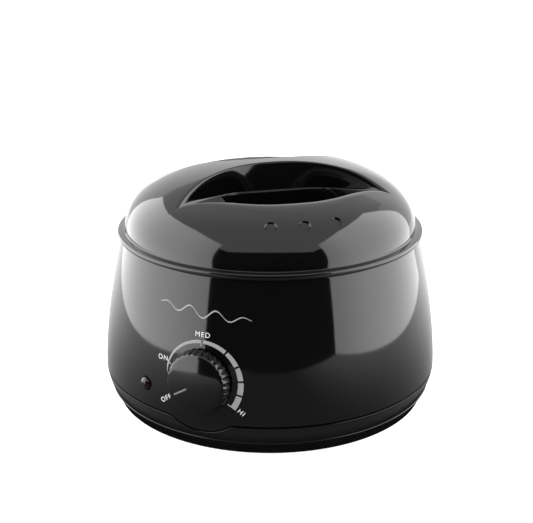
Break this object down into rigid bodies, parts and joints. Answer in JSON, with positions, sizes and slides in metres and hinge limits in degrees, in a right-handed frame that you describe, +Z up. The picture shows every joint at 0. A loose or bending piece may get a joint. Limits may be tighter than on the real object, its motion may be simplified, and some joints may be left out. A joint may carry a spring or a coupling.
{
  "type": "wax warmer pot",
  "caption": "Round gloss black salon wax warmer with a front dial, a domed lid with a finger grip, and a lift-out metal pot with a bail.",
  "frame": {"origin": "on the vertical axis of the housing, at the level that the rubber feet stand on", "axes": "+Z up, the dial faces -Y, +X to the right of a viewer who faces the dial"},
  "size_m": [0.18, 0.1921, 0.1296],
  "materials": {
    "housing_gloss_black": "high gloss, moulded, near black",
    "lid_gloss_black": "high gloss, moulded, near black",
    "base_black": "semi-gloss black, slightly duller than the housing",
    "knob_black": "gloss black with a ribbed side",
    "pointer_white": "light grey inlay",
    "spindle_brass": "turned",
    "lens_dark": "dark tinted lens, unlit",
    "lamp_glass": "clear envelope",
    "gland_black": "satin black bushing",
    "foot_rubber": "moulded, dull",
    "screw_steel": "zinc plated",
    "well_aluminium": "spun, brushed around its axis",
    "pot_aluminium": "spun, brushed around its axis",
    "bail_steel": "nickel plated wire",
    "ear_steel": "stamped sheet",
    "rivet_aluminium": "satin",
    "seal_silicone": "red silicone",
    "band_mica": "mica band in a steel sheath",
    "wrap_fibre": "white fibre blanket",
    "thermostat_ceramic": "glazed ceramic body",
    "terminal_plastic": "white terminal block",
    "shield_steel": "zinc plated sheet",
    "spacer_ceramic": "steatite",
    "fuse_steel": "tinned",
    "lead_brown": "silicone insulation",
    "lead_blue": "silicone insulation"
  },
  "bodies": {
    "housing": {"upper_housing": "housing_gloss_black", "base_pan": "base_black", "rubber_foot_1": "foot_rubber", "rubber_foot_2": "foot_rubber", "rubber_foot_3": "foot_rubber", "rubber_foot_4": "foot_rubber", "base_screw_1": "screw_steel", "base_screw_2": "screw_steel", "base_screw_3": "screw_steel", "base_screw_4": "screw_steel", "well_screw_1": "screw_steel", "well_screw_2": "screw_steel", "well_screw_3": "screw_steel", "heater_band_screw": "screw_steel", "heater_band_nut": "screw_steel", "thermostat_screw_1": "screw_steel", "thermostat_screw_2": "screw_steel", "shield_nut_1": "screw_steel", "shield_nut_2": "screw_steel", "shield_nut_3": "screw_steel", "heating_well": "well_aluminium", "well_seal_ring": "seal_silicone", "heater_band": "band_mica", "insulation_wrap": "wrap_fibre", "heat_shield": "shield_steel", "shield_spacer_1": "spacer_ceramic", "shield_spacer_2": "spacer_ceramic", "shield_spacer_3": "spacer_ceramic", "thermostat_body": "thermostat_ceramic", "thermostat_bracket": "shield_steel", "indicator_lens": "lens_dark", "indicator_lamp": "lamp_glass", "terminal_block": "terminal_plastic", "cord_gland": "gland_black", "thermal_fuse": "fuse_steel", "fuse_clip": "fuse_steel", "lead_line": "lead_brown", "lead_switched": "lead_brown", "lead_fuse": "lead_brown", "lead_lamp_line": "lead_brown", "lead_neutral": "lead_blue", "lead_lamp_neutral": "lead_blue"},
    "knob": {"dial_knob": "knob_black", "knob_pointer": "pointer_white", "thermostat_spindle": "spindle_brass"},
    "pot": {"wax_pot": "pot_aluminium", "bail_ear_left": "ear_steel", "bail_ear_right": "ear_steel", "ear_rivet_left": "rivet_aluminium", "ear_rivet_right": "rivet_aluminium"},
    "bail": {"bail_handle": "bail_steel"},
    "lid": {"lid": "lid_gloss_black"}
  },
  "joints": [
    {"name": "knob_turn", "type": "hinge", "parent": "housing", "child": "knob", "pos_m": [0, -0.08858, 0.0402], "axis": [0, 0.9938, -0.1109], "range_deg": [0, 246]},
    {"name": "pot_lift", "type": "slide", "parent": "housing", "child": "pot", "axis": [0, 0, 1], "range_m": [0, 0.09]},
    {"name": "lid_lift", "type": "slide", "parent": "pot", "child": "lid", "axis": [0, 0, 1], "range_m": [0, 0.12]},
    {"name": "bail_swing", "type": "hinge", "parent": "pot", "child": "bail", "pos_m": [0, 0, 0.0912], "axis": [1, 0, 0], "range_deg": [0, 90]}
  ],
  "couplings": [
    {"joint": "bail_swing", "follows": "lid_lift", "rad_per_m": 13.08}
  ]
}
